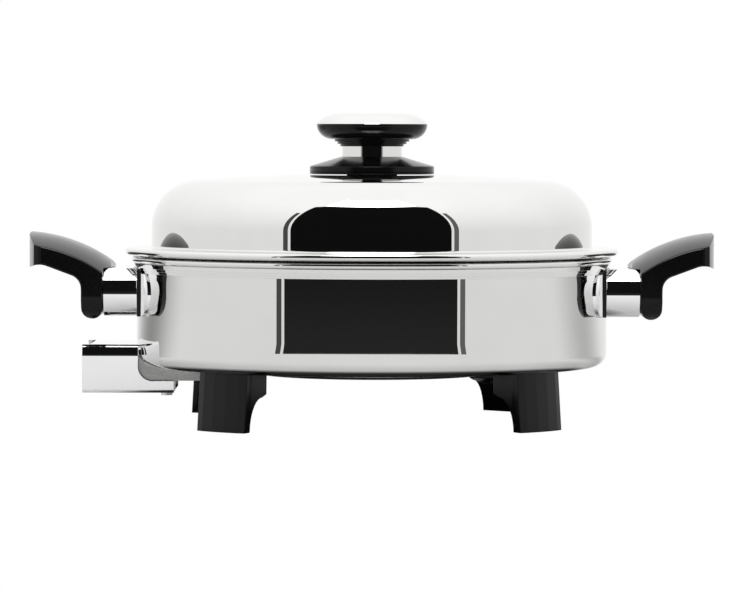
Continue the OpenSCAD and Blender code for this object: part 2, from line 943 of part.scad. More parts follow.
// The ring inside the lid that seats on the rim and reaches into the pan
module lid_ring() {
    wall_in = lid_r - lid_wall;
    seat = rim_z + seat_gap;
    color("gainsboro")
    rotate_extrude()
        polygon([
            [lip_r, rim_z - lip_drop],
            [lip_r, seat],
            [bead_ring_r - 1, seat],
            [bead_ring_r - 1, seat + lid_wall],
            [wall_in, seat + lid_wall],
            [wall_in, ring_top],
            [wall_in - lid_wall, ring_top],
            [lip_r - lid_wall, seat + lid_wall],
            [lip_r - lid_wall, rim_z - lip_drop]
        ]);
}

// ---- Knob ----

module knob_base() {
    groove = 0.4;
    slope_r = collar_r + 0.3;
    color([0.08, 0.08, 0.08])
    difference() {
        rotate_extrude()
            polygon([
                [0, base_z],
                [base_r - 0.6, base_z],
                [base_r, base_z + 0.6],
                [base_r, base_z + 1.2],
                [base_r - groove, base_z + 1.4],
                [base_r, base_z + 1.6],
                [base_r, base_z + knob_rim_h - 0.4],
                [base_r - 1, base_z + knob_rim_h + 0.5],
                [slope_r, base_top],
                [0, base_top]
            ]);
        translate([0, 0, base_z - 1])
            cylinder(h = knob_base_h + 2, r = bushing_d / 2);
        translate([0, 0, base_top - collar_seat])
            ring(collar_r - collar_wall, collar_r, collar_seat + 1);
        steam_holes(base_z - 5);
    }
}

module knob_collar() {
    color("silver")
    translate([0, 0, base_top - collar_seat])
        ring(collar_r - collar_wall, collar_r, collar_top - base_top + collar_seat);
}

module knob_gasket() {
    color("dimgray")
    translate([0, 0, seat_z])
        ring(gasket_in, gasket_out, knob_gap);
}

module knob_bushing() {
    color("goldenrod")
    translate([0, 0, bushing_low])
        ring(stem_r + stem_gap, bushing_d / 2, bushing_top - bushing_low);
}

module knob_nut() {
    color("goldenrod")
    translate([0, 0, seat_z - lid_wall - knob_nut_h])
        difference() {
            cylinder(h = knob_nut_h, r = knob_nut_r, $fn = 6);
            translate([0, 0, -1])
                cylinder(h = knob_nut_h + 2, r = bushing_d / 2);
        }
}

module knob_grip() {
    steps = 3;
    step_r = (knob_r - grip_hole_r) * 0.11;
    step_h = 1.5;
    bowl_r = grip_hole_r + step_r * (steps + 0.3);
    bowl_z = grip_bottom + step_h * steps;
    color([0.08, 0.08, 0.08])
    difference() {
        rotate_extrude()
            polygon(concat(
                [[0, grip_bottom]],
                [for (i = [0:steps - 1], k = [0, 1])
                    [grip_hole_r + step_r * (i + 0.5), grip_bottom + step_h * (i + k)]],
                [for (i = [0:10]) let (a = 9 * i)
                    [bowl_r + (knob_r - 0.2 - bowl_r) * sin(a), grip_top - (grip_top - bowl_z) * cos(a)]],
                [[0, grip_top]]));
        translate([0, 0, grip_bottom - 1])
            cylinder(h = grip_roof - grip_bottom + 1, r = grip_hole_r);
        cylinder(h = far, r = stem_r);
    }
}

module knob_cap() {
    round = 1.5 * cap_h;
    flat_r = knob_r - round;
    lift = 0.6;
    color("gainsboro")
    rotate_extrude()
        polygon(concat(
            [[0, grip_top + cap_h]],
            [for (i = [0:12]) let (a = 90 - 7.5 * i)
                [flat_r + round * cos(a), grip_top + (cap_h - lift) * sin(a) + lift * sin(a)]],
            [for (i = [12:-1:0]) let (a = 90 - 7.5 * i)
                [flat_r + (round - cap_wall) * cos(a), grip_top + (cap_h - cap_wall) * sin(a)]],
            [[0, grip_top + cap_h - cap_wall]]));
}

module vent_stem() {
    color("silver")
    difference() {
        translate([0, 0, stem_low])
            cylinder(h = grip_top + stem_nut_h + 0.8 - stem_low, r = stem_r);
        translate([0, 0, stem_low + 1])
            ring(stem_r - 0.6, stem_r + 1, 0.9);
    }
}

module stem_nut() {
    color("silver")
    translate([0, 0, grip_top])
        difference() {
            cylinder(h = stem_nut_h, r = stem_r + 2.6, $fn = 6);
            translate([0, 0, -1])
                cylinder(h = stem_nut_h + 2, r = stem_r);
        }
}

module vent_disc() {
    color("firebrick")
    translate([0, 0, disc_z])
        ring(stem_r, disc_r, disc_h);
}

module stem_clip() {
    color("silver")
    translate([0, 0, stem_low + 1])
        ring(stem_r - 0.6, stem_r + 2, 0.9);
}

inner_pan();
outer_shell();
rim_band();
heating_element();
element_clips();
seal_bushes();
terminal_box();
terminal_block();
terminal_pins();
probe_well();
probe_guard();
guard_spacers();
guard_screws();
base_cover();
oil_plug();
plug_gasket();
foot_front_left();
foot_front_right();
foot_rear_left();
foot_rear_right();
foot_studs();
foot_nuts();
handle_left();
handle_right();
ferrule_left();
ferrule_right();
bracket_left();
bracket_right();
handle_screws();
lid_shell();
lid_ring();
knob_base();
knob_collar();
knob_gasket();
knob_bushing();
knob_nut();
knob_grip();
knob_cap();
vent_stem();
stem_nut();
vent_disc();
stem_clip();
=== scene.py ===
import json
import math

import bmesh
import bpy
from bpy.props import FloatProperty, FloatVectorProperty, IntProperty, PointerProperty
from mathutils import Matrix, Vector

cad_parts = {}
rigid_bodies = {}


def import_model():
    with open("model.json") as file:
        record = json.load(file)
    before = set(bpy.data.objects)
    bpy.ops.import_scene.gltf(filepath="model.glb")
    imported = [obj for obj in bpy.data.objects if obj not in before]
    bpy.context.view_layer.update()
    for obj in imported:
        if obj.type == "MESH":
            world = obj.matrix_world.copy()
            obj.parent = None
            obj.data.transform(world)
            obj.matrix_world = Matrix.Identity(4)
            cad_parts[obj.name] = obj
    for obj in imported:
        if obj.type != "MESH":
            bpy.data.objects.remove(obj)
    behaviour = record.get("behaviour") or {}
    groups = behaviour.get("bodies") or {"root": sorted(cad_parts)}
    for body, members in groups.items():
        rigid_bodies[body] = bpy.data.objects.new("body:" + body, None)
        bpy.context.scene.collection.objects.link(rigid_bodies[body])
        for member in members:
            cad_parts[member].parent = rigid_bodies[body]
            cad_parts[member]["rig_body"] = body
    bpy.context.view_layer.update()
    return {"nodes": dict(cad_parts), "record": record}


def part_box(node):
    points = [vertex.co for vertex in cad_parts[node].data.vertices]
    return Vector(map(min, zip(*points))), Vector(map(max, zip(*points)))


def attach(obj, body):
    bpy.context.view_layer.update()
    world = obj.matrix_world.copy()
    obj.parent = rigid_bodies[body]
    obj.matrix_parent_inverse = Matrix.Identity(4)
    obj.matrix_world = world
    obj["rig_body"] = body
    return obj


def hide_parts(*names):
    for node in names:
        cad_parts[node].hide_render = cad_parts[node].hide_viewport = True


bl_info = {
    "name": "Electric Skillet",
    "version": (1, 0, 0),
    "blender": (4, 5, 0),
    "location": "View3D > Sidebar > Skillet",
    "description": "Builds the looks of a domed electric skillet around its packed frame",
    "category": "Object",
}

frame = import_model()
NODES = frame["nodes"]

PAN_LOW, PAN_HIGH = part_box("inner_pan")
SHELL_LOW, SHELL_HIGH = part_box("outer_shell")
BAND_LOW, BAND_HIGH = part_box("rim_band")
LID_LOW, LID_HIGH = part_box("lid_shell")
BASE_LOW, BASE_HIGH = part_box("knob_base")
COLLAR_LOW, COLLAR_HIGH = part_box("knob_collar")
GRIP_LOW, GRIP_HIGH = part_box("knob_grip")
CAP_LOW, CAP_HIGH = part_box("knob_cap")
BUSHING_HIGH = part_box("knob_bushing")[1]

# Distance under which two points count as one
MERGE = 1e-6
# A corner flatter than this half angle isn't rounded
STRAIGHT = math.radians(89.5)
# Part of a corner's length that its arc takes up, so that two arcs don't meet
ARC_SHARE = 0.9995
# Degrees turned by each segment of a rounded corner, and the fewest segments
ARC_STEP, ARC_FEWEST = 4, 4
# Clean-up of a frame node's mesh: welding distance, shortest edge and flattest angle that stay
WELD, SHORTEST, FLATTEST = 2e-5, 1e-5, math.radians(0.6)
# Depth of the strip next to a piece's side planes whose edges take the wider crease
SIDE_STRIP = 0.0001
# Rounding of a cut sheet's edge, of the inlet's folded sheets and of the pressed brackets
SHEET_EDGE, FOLDED_EDGE, PRESSED_EDGE = 0.0003, 0.00025, 0.0005
# Rounding of the handles' edges, the wider crease along their sides and the feet's rounding
HANDLE_EDGE, HANDLE_CREASE, FOOT_EDGE = 0.0006, 0.0011, 0.0004
# Segments round the lid and round the knob's pieces
LID_STEPS, KNOB_STEPS = 240, 128
# Sheet of the knob's collar
COLLAR_SHEET = 0.0014
# How far the lathe's rings drift along a turn, as a share of the angle
RING_DRIFT = 0.004
# Values that a noise mostly keeps to, for roughness and for colour
NOISE_SPAN, TINT_SPAN = (0.3, 0.7), (0.35, 0.65)
# Width of the camera's sensor in millimetres
SENSOR = 36.0


# ---- Values a user would change ----


def length(name, text, default):
    return FloatProperty(
        name=name, description=text, default=default, min=0.0, unit="LENGTH", precision=5)


def share(name, text, default):
    return FloatProperty(
        name=name, description=text, default=default, min=0.0, max=1.0, subtype="FACTOR")


def paint(name, text, default):
    return FloatVectorProperty(
        name=name, description=text, default=default, min=0.0, max=1.0, subtype="COLOR")


def number(name, text, default, **limits):
    return FloatProperty(name=name, description=text, default=default, **limits)


class SkilletPanValues(bpy.types.PropertyGroup):
    cook_radius: length("Cooking radius", "Inside radius of the cooking pan", 0.1386)
    wall: length("Sheet", "Thickness of the pan's sheets", 0.0012)
    floor_height: length(
        "Floor height", "Height of the cooking floor above the table", PAN_LOW.z + 0.0012)
    floor_fillet: length("Floor fillet", "Radius inside the corner of the cooking pan", 0.008)
    lip_fillet: length("Lip fillet", "Radius of the turn from the wall to the rim shelf", 0.004)
    shell_fillet: length("Shell fillet", "Radius of the rounded edge under the outer shell", 0.0085)
    bead_radius: length("Bead radius", "Radius of the rolled beads", 0.0022)
    plug_radius: length("Plug radius", "Radius of the hole for the filler plug", 0.005)


class SkilletLidValues(bpy.types.PropertyGroup):
    wall_radius: length("Wall radius", "Outside radius of the lid's wall", 0.1397)
    sheet: length("Sheet", "Thickness of the lid", 0.0009)
    shoulder: length("Shoulder", "Radius of the lid's shoulder", 0.03)
    dome_radius: length("Dome radius", "Radius of the lid's crown", 1.4)
    seat_radius: length("Seat radius", "Radius of the flat seat under the knob", 0.042)
    seat_drop: length("Seat drop", "Depth of the seat below the top of the dome", 0.0017)
    seat_blend: length("Seat blend", "Width of the slope around the seat", 0.012)
    flange_fillet: length("Flange fillet", "Radius between the wall and the flange", 0.0016)
    hole_radius: length("Hole radius", "Radius of the hole for the knob's bushing", 0.005)


class SkilletKnobValues(bpy.types.PropertyGroup):
    base_edge: length("Base edge", "Height of the knob base's rim", 0.0048)
    groove: length("Groove", "Depth of the line around the base's rim", 0.0005)
    groove_height: length("Groove height", "Height of the line above the base's underside", 0.0014)
    step_width: length("Step width", "Width of each step under the grip", 0.00178)
    step_height: length("Step height", "Height of each step under the grip", 0.0015)
    steps: IntProperty(
        name="Steps", description="Number of steps under the grip", default=3, min=1, max=6)
    grip_bore: length("Grip bore", "Radius of the hollow that the collar slides in", 0.0193)
    stem_radius: length("Stem radius", "Radius of the vent stem", 0.003)
    cap_end: number("Cap end", "Angle in degrees at which the cap's rounded edge stops", 25.0)
    cap_sheet: length("Cap sheet", "Thickness of the polished cap", 0.001)


class SkilletFinishValues(bpy.types.PropertyGroup):
    steel: paint("Steel", "Colour of the polished stainless steel", (0.70, 0.70, 0.685))
    cap: paint("Cap", "Colour of the knob's cap", (0.71, 0.71, 0.70))
    chrome: paint("Chrome", "Colour of the chrome trim", (0.86, 0.86, 0.87))
    phenolic: paint("Phenolic", "Colour of the black moulded parts", (0.0035, 0.0035, 0.0037))
    satin: paint("Satin steel", "Colour of the satin steel", (0.50, 0.50, 0.49))
    brass: paint("Brass", "Colour of the brass fittings", (0.66, 0.48, 0.20))
    polish: share("Polish roughness", "Roughness of the polished steel", 0.012)
    gloss: share("Phenolic roughness", "Roughness of the moulded parts", 0.16)


class SkilletStudioValues(bpy.types.PropertyGroup):
    distance: length("Camera distance", "Distance from the skillet's axis to the camera", 2.667)
    height: length("Camera height", "Height of the camera above the table", 0.180)
    offset: number("Camera offset", "Sideways place of the camera", -0.0013)
    pitch: number("Pitch", "Downward tilt of the camera in degrees", 2.155)
    roll: number("Roll", "Roll of the camera in degrees", -0.15)
    lens: number("Lens", "Focal length in millimetres", 204.3)
    opening_radius: length("Opening distance", "Distance of the dark opening from the axis", 0.88)
    opening_near: length(
        "Opening near edge", "Distance from the axis at which the table turns dark", 0.745)
    opening_left: number("Opening left", "Left end of the dark opening in degrees", -39.0)
    opening_right: number("Opening right", "Right end of the dark opening in degrees", 38.2)
    opening_height: length("Opening height", "Height of the dark opening", 1.42)
    opening_corner: length(
        "Opening corner", "Size of the slanted upper corners of the opening", 0.13)
    seam_gap: number("Seam gap", "Angle between the opening and a seam in degrees", 1.3)
    seam_width: number("Seam width", "Width of the tent's dark seams in degrees", 2.4)
    seam_height: length("Seam height", "Height of the tent's dark seams", 0.8)
    lamp_glow: number("Lamp", "Brightness of the lamp above the opening", 9.0, min=0.0)
    sky_glow: number("Sky", "Brightness of the tent straight above", 1.32, min=0.0)
    white: share("White", "Brightness of the tent", 1.0)


# ---- Shapes ----


def turned(name, outline, body, steps=180):
    """A turned piece. The outline's points are radius, height and the radius that rounds them."""
    bm = bmesh.new()
    verts = [bm.verts.new((r, 0.0, z)) for r, z, _ in outline]
    for a, b in zip(verts, verts[1:]):
        bm.edges.new((a, b))
    if outline[0][0] > 0.0 or outline[-1][0] > 0.0:
        bm.edges.new((verts[-1], verts[0]))
    corners = [(v, p[2]) for v, p in zip(verts, outline) if p[2] > 0.0]
    for v, radius in corners:
        round_corner(bm, v, radius)
    bmesh.ops.spin(
        bm, geom=bm.verts[:] + bm.edges[:], cent=(0, 0, 0), axis=(0, 0, 1), angle=math.tau,
        steps=steps, use_merge=True, use_duplicate=False, use_normal_flip=False)
    bmesh.ops.remove_doubles(bm, verts=bm.verts, dist=MERGE)
    return finished(bm, name, body)


def round_corner(bm, vert, radius):
    """Rounds one corner of an outline to an arc."""
    one, two = [(e.other_vert(vert).co - vert.co).normalized() for e in vert.link_edges]
    half = one.angle(two) / 2
    if half > STRAIGHT:
        return
    turn = math.degrees(math.pi - 2 * half)
    bmesh.ops.bevel(
        bm, geom=[vert], offset=ARC_SHARE * radius / math.tan(half), offset_type="OFFSET",
        segments=max(ARC_FEWEST, round(turn / ARC_STEP)), profile=0.5, affect="VERTICES",
        material=-1)


def finished(bm, name, body, sharp=32.0):
    """Closes a piece's mesh, shades it and lets it ride on its body."""
    bmesh.ops.recalc_face_normals(bm, faces=bm.faces)
    mesh = bpy.data.meshes.new(name)
    bm.to_mesh(mesh)
    bm.free()
    mesh.shade_smooth()
    mesh.set_sharp_from_angle(angle=math.radians(sharp))
    piece = bpy.data.objects.new(name, mesh)
    bpy.context.scene.collection.objects.link(piece)
    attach(piece, body)
    return piece


def edges_over(bm, angle):
    """The edges at which two faces meet at more than an angle in degrees."""
    limit = math.radians(angle)
    return [e for e in bm.edges if len(e.link_faces) == 2 and e.calc_face_angle(0.0) > limit]


def softened(node, radius, segments=3, angle=28.0, sharp=14.0, crease=0.0):
    """A copy of a frame node whose edges over an angle are rounded, wider on its side planes."""
    bm = bmesh.new()
    bm.from_mesh(NODES[node].data)
    bmesh.ops.remove_doubles(bm, verts=bm.verts, dist=WELD)
    bmesh.ops.dissolve_degenerate(bm, dist=SHORTEST, edges=bm.edges)
    bmesh.ops.dissolve_limit(
        bm, angle_limit=FLATTEST, use_dissolve_boundaries=False,
        verts=bm.verts, edges=bm.edges, delimit=set())
    if crease:
        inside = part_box(node)[1].y - SIDE_STRIP
        side = [e for e in edges_over(bm, angle) if all(abs(v.co.y) > inside for v in e.verts)]
        bmesh.ops.bevel(
            bm, geom=side, offset=crease, offset_type="OFFSET", segments=3, profile=0.5,
            affect="EDGES", clamp_overlap=False, material=-1)
    bmesh.ops.bevel(
        bm, geom=edges_over(bm, angle), offset=radius, offset_type="OFFSET", segments=segments,
        profile=0.5, affect="EDGES", clamp_overlap=True, material=-1)
    piece = finished(bm, node + "_shape", NODES[node]["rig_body"], sharp)
    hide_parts(node)
    return piece


def coat(piece, material):
    """Gives a piece its material."""
    piece.data.materials.clear()
    piece.data.materials.append(material)


# ---- Materials ----


def new_material(name):
    """A new material with its nodes and shader, or the one of that name without them."""
    material = bpy.data.materials.get(name)
    if material:
        return material, None, None
    material = bpy.data.materials.new(name)
    material.use_nodes = True
    nodes = material.node_tree.nodes
    return material, nodes, nodes["Principled BSDF"]


def join(material, source, target):
    material.node_tree.links.new(source, target)


def object_coords(nodes):
    return nodes.new("ShaderNodeTexCoord").outputs["Object"]


def maths(material, nodes, operation, *terms):
    """The result of a maths node whose terms are sockets or numbers."""
    node = nodes.new("ShaderNodeMath")
    node.operation = operation
    for place, term in zip(node.inputs, terms):
        if isinstance(term, float):
            place.default_value = term
        else:
            join(material, term, place)
    return node.outputs[0]


def distance_from(material, nodes, vector):
    """The length of a vector."""
    node = nodes.new("ShaderNodeVectorMath")
    node.operation = "LENGTH"
    join(material, vector, node.inputs[0])
    return node.outputs["Value"]


def mapped(material, nodes, value, source, target, smooth=False):
    """Maps a value from one span onto another and clamps it there."""
    ranged = nodes.new("ShaderNodeMapRange")
    if smooth:
        ranged.interpolation_type = "SMOOTHSTEP"
    for side, limits in (("From", source), ("To", target)):
        ranged.inputs[side + " Min"].default_value = limits[0]
        ranged.inputs[side + " Max"].default_value = limits[1]
    join(material, value, ranged.inputs["Value"])
    return ranged.outputs["Result"]


def around_axis(material, nodes):
    """Object coordinates as radius, angle and height, so that a pattern runs round the piece."""
    split = nodes.new("ShaderNodeSeparateXYZ")
    join(material, object_coords(nodes), split.inputs[0])
    flat = nodes.new("ShaderNodeCombineXYZ")
    join(material, split.outputs["X"], flat.inputs["X"])
    join(material, split.outputs["Y"], flat.inputs["Y"])
    angle = maths(material, nodes, "ARCTAN2", split.outputs["Y"], split.outputs["X"])
    out = nodes.new("ShaderNodeCombineXYZ")
    join(material, distance_from(material, nodes, flat.outputs[0]), out.inputs["X"])
    join(material, maths(material, nodes, "MULTIPLY", angle, RING_DRIFT), out.inputs["Y"])
    join(material, split.outputs["Z"], out.inputs["Z"])
    return out.outputs[0]


def noise(material, nodes, vector, scale, detail=3.0, rough=0.5):
    texture = nodes.new("ShaderNodeTexNoise")
    texture.inputs["Scale"].default_value = scale
    texture.inputs["Detail"].default_value = detail
    texture.inputs["Roughness"].default_value = rough
    join(material, vector, texture.inputs["Vector"])
    return texture.outputs["Fac"]


def spread(material, nodes, value, low, high):
    """Maps the span that a noise mostly keeps to onto low to high."""
    return mapped(material, nodes, value, NOISE_SPAN, (low, high))


def tint(material, nodes, value, dark, light):
    """A colour that runs from dark to light with a noise."""
    ramp = nodes.new("ShaderNodeValToRGB")
    for stop, place, colour in zip(ramp.color_ramp.elements, TINT_SPAN, (dark, light)):
        stop.position = place
        stop.color = (*colour, 1.0)
    join(material, value, ramp.inputs["Fac"])
    return ramp.outputs["Color"]


def relief(material, nodes, shader, height, strength, distance):
    """Adds a fine bump to a shader."""
    bump = nodes.new("ShaderNodeBump")
    bump.inputs["Strength"].default_value = strength
    bump.inputs["Distance"].default_value = distance
    join(material, height, bump.inputs["Height"])
    join(material, bump.outputs["Normal"], shader.inputs["Normal"])


def surface(material, nodes, shader, colour, colours, roughness, finish):
    """Drives a shader's colour and roughness by two patterns, each with its shares of the value."""
    pattern, dark, light = colours
    shade = tint(material, nodes, pattern, scaled(colour, dark), scaled(colour, light))
    join(material, shade, shader.inputs["Base Color"])
    pattern, smooth, rough = finish
    polish = spread(material, nodes, pattern, roughness * smooth, min(1.0, roughness * rough))
    join(material, polish, shader.inputs["Roughness"])


def scaled(colour, amount):
    return tuple(min(1.0, c * amount) for c in colour)


def polished_metal(name, colour, roughness, lines=0.00002):
    """Metal polished on a lathe: faint rings, a little haze and hardly any colour change."""
    material, nodes, shader = new_material(name)
    if not nodes:
        return material
    shader.inputs["Metallic"].default_value = 1.0
    haze = noise(material, nodes, object_coords(nodes), 24.0, detail=4.0, rough=0.6)
    ringed = around_axis(material, nodes)
    rings = noise(material, nodes, ringed, 260.0, detail=1.0, rough=0.3)
    surface(material, nodes, shader, colour, (haze, 0.985, 1.015), roughness, (haze, 0.7, 1.3))
    relief(material, nodes, shader, rings, strength=0.02, distance=lines)
    return material


def satin_metal(name, colour, roughness, along=(1.0, 14.0, 14.0)):
    """Sheet metal with a fine grain along X."""
    material, nodes, shader = new_material(name)
    if not nodes:
        return material
    shader.inputs["Metallic"].default_value = 1.0
    stretch = nodes.new("ShaderNodeMapping")
    stretch.inputs["Scale"].default_value = along
    join(material, object_coords(nodes), stretch.inputs["Vector"])
    grain = noise(material, nodes, stretch.outputs[0], 120.0, detail=5.0, rough=0.6)
    surface(material, nodes, shader, colour, (grain, 0.9, 1.08), roughness, (grain, 0.8, 1.25))
    relief(material, nodes, shader, grain, strength=0.15, distance=0.0001)
    return material


def moulded(name, colour, roughness):
    """Thermoset moulding: deep gloss with a faint ripple and fine dust in the surface."""
    material, nodes, shader = new_material(name)
    if not nodes:
        return material
    shader.inputs["IOR"].default_value = 1.56
    shader.inputs["Specular IOR Level"].default_value = 0.14
    coords = object_coords(nodes)
    ripple = noise(material, nodes, coords, 55.0, detail=3.0, rough=0.55)
    dust = noise(material, nodes, coords, 1800.0, detail=2.0, rough=0.6)
    surface(material, nodes, shader, colour, (dust, 0.75, 1.5), roughness, (ripple, 0.8, 1.3))
    relief(material, nodes, shader, ripple, strength=0.12, distance=0.0002)
    return material


def plain_solid(name, colour, roughness, grain_scale=300.0):
    """Ceramic, fibre or silicone: dull, with a fine grain."""
    material, nodes, shader = new_material(name)
    if not nodes:
        return material
    grain = noise(material, nodes, object_coords(nodes), grain_scale, detail=5.0, rough=0.6)
    surface(material, nodes, shader, colour, (grain, 0.8, 1.15), roughness, (grain, 0.85, 1.15))
    relief(material, nodes, shader, grain, strength=0.3, distance=0.0002)
    return material


def polished_steel():
    finish = bpy.context.scene.skillet_finish
    return polished_metal("polished_stainless", finish.steel, finish.polish)


def cap_steel():
    finish = bpy.context.scene.skillet_finish
    return polished_metal("cap_steel", finish.cap, finish.polish * 1.5)


def chrome_trim():
    finish = bpy.context.scene.skillet_finish
    return polished_metal("chrome_plate", finish.chrome, finish.polish * 1.2, 0.00001)


def black_phenolic():
    finish = bpy.context.scene.skillet_finish
    return moulded("black_phenolic", finish.phenolic, finish.gloss)


def satin_steel():
    return satin_metal("satin_steel", bpy.context.scene.skillet_finish.satin, 0.28)


# ---- Pan ----


class SKILLET_OT_pan(bpy.types.Operator):
    """Turns the cooking pan, the outer shell, the rim band and the cover under the pan"""

    bl_idname = "skillet.pan"
    bl_label = "Build Pan"

    def execute(self, context):
        values = context.scene.skillet_pan
        steel = polished_steel()
        coat(self.cooking_pan(values), steel)
        coat(self.shell(values), steel)
        coat(self.band(values), steel)
        coat(softened("base_cover", SHEET_EDGE, 2), satin_steel())
        return {"FINISHED"}

    def cooking_pan(self, values):
        inner, wall, floor = values.cook_radius, values.wall, values.floor_height
        rim, bead = PAN_HIGH.z, values.bead_radius
        reach, radius = PAN_HIGH.x, SHELL_HIGH.x
        low = rim - 2 * bead
        lap_edge = 0.0006
        outline = [
            (0.0, floor, 0.0),
            (inner, floor, values.floor_fillet),
            (inner, rim, values.lip_fillet),
            (reach, rim, bead),
            (reach, low, bead),
            (radius, low, lap_edge),
            (radius, rim - bead, 0.0),
            (radius - wall, rim - bead, 0.0),
            (radius - wall, rim - wall, 0.0),
            (inner + wall, rim - wall, values.lip_fillet - wall),
            (inner + wall, floor - wall, values.floor_fillet + wall),
            (0.0, floor - wall, 0.0),
        ]
        piece = turned("cooking_pan", outline, "base")
        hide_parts("inner_pan")
        return piece

    def shell(self, values):
        wall, radius, low = values.wall, SHELL_HIGH.x, SHELL_LOW.z
        outline = [
            (values.plug_radius, low, 0.0),
            (radius, low, values.shell_fillet),
            (radius, SHELL_HIGH.z, 0.0),
            (radius - wall, SHELL_HIGH.z, 0.0),
            (radius - wall, low + wall, values.shell_fillet - wall),
            (values.plug_radius, low + wall, 0.0),
        ]
        piece = turned("pan_shell", outline, "base")
        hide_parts("outer_shell")
        return piece

    def band(self, values):
        inner, low, high = SHELL_HIGH.x, BAND_LOW.z, BAND_HIGH.z
        # The two lower rings are one step high each, and the top one takes the other 1.6
        step = (high - low) / 3.6
        edge, slant = 0.00015, 0.00035
        first, second, third = 0.0012, 0.0017, 0.0022
        outline = [
            (inner, low, 0.0),
            (inner + first - slant, low, edge),
            (inner + first, low + step, edge),
            (inner + second - slant, low + step, 0.0),
            (inner + second, low + 2 * step, edge),
            (inner + third - slant, low + 2 * step, 0.0),
            (inner + third, high, edge),
            (inner, high, 0.0),
        ]
        piece = turned("rim_rings", outline, "base")
        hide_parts("rim_band")
        return piece


# ---- Lid ----


class SKILLET_OT_lid(bpy.types.Operator):
    """Spins the domed lid with its shoulder, flange and rolled bead, and the ring inside it"""

    bl_idname = "skillet.lid"
    bl_label = "Build Lid"

    def execute(self, context):
        values = context.scene.skillet_lid
        bead = context.scene.skillet_pan.bead_radius
        steel = polished_steel()
        outer = self.face(values, 0.0)
        inner = self.face(values, values.sheet)
        flange = LID_LOW.z + 2 * bead
        wall, reach = values.wall_radius, LID_HIGH.x
        rim = [
            (wall, flange, values.flange_fillet),
            (reach, flange, bead),
            (reach, LID_LOW.z, bead),
            (reach - 2 * bead, LID_LOW.z, bead),
            (reach - 2 * bead, flange - values.sheet, 0.0),
            (wall - values.sheet, flange - values.sheet, 0.0),
        ]
        lid = turned("domed_lid", outer + rim + inner[::-1], "lid", LID_STEPS)
        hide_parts("lid_shell")
        coat(lid, steel)
        coat(softened("lid_ring", SHEET_EDGE, 2), steel)
        return {"FINISHED"}

    def face(self, values, depth):
        """One face of the lid's sheet from the knob's hole to its shoulder."""
        dome = values.dome_radius - depth
        centre = self.top(values) - values.dome_radius
        seat = self.top(values) - values.seat_drop - depth
        blend = values.seat_blend

        def height(r):
            return centre + math.sqrt(dome * dome - r * r)

        start = values.seat_radius + blend
        reach = values.wall_radius - values.shoulder
        spans = 5
        crown = [start + (reach - start) * i / spans for i in range(spans + 1)]
        slope = -crown[-1] / math.sqrt(dome * dome - crown[-1] ** 2)
        corner = height(crown[-1]) + slope * (values.wall_radius - depth - crown[-1])
        return [
            (values.hole_radius, seat, 0.0),
            (values.seat_radius, seat, blend * 2),
            *[(r, height(r), blend * 2 if i == 0 else 0.0) for i, r in enumerate(crown)],
            (values.wall_radius - depth, corner, values.shoulder - depth),
        ]

    def top(self, values):
        """Height of the dome above its raised seat, from the frame's highest point of the lid."""
        edge = values.seat_radius + values.seat_blend
        return LID_HIGH.z + values.dome_radius - math.sqrt(values.dome_radius ** 2 - edge ** 2)


# ---- Knob ----


